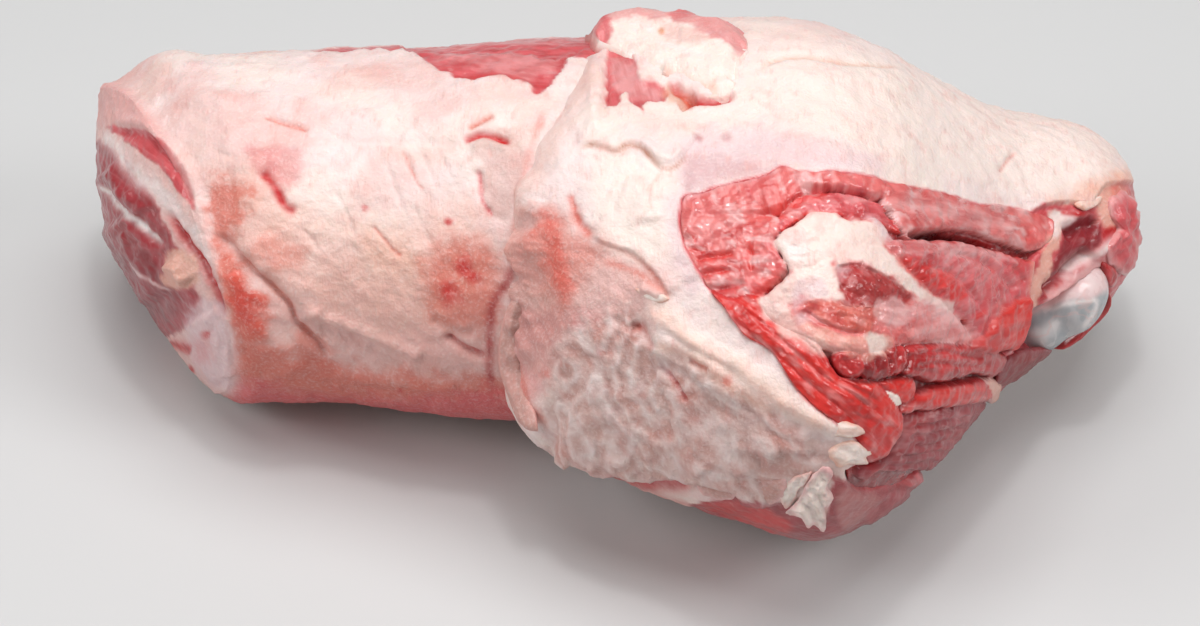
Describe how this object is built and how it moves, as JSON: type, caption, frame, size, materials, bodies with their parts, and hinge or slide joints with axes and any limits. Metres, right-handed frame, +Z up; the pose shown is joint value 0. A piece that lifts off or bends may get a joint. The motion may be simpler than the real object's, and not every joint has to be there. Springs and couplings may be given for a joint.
{
  "type": "raw lamb neck",
  "caption": "Raw lamb joint lying on its side: a fat-covered barrel tucked into the collar of a thicker body whose open side shows lean meat, fat and a cartilage-capped bone end.",
  "frame": {"origin": "middle of the bounding box, at the level of the surface it lies on", "axes": "+X along the joint from the sawn end to the bone end, +Z up, the open side faces -Y and up"},
  "size_m": [0.2661, 0.1546, 0.104],
  "materials": {
    "meat": "moist raw fat and lean, soft sheen",
    "bone": "smooth wet cartilage"
  },
  "bodies": {
    "root": {"meat": "meat", "bone_end": "bone"}
  },
  "joints": []
}
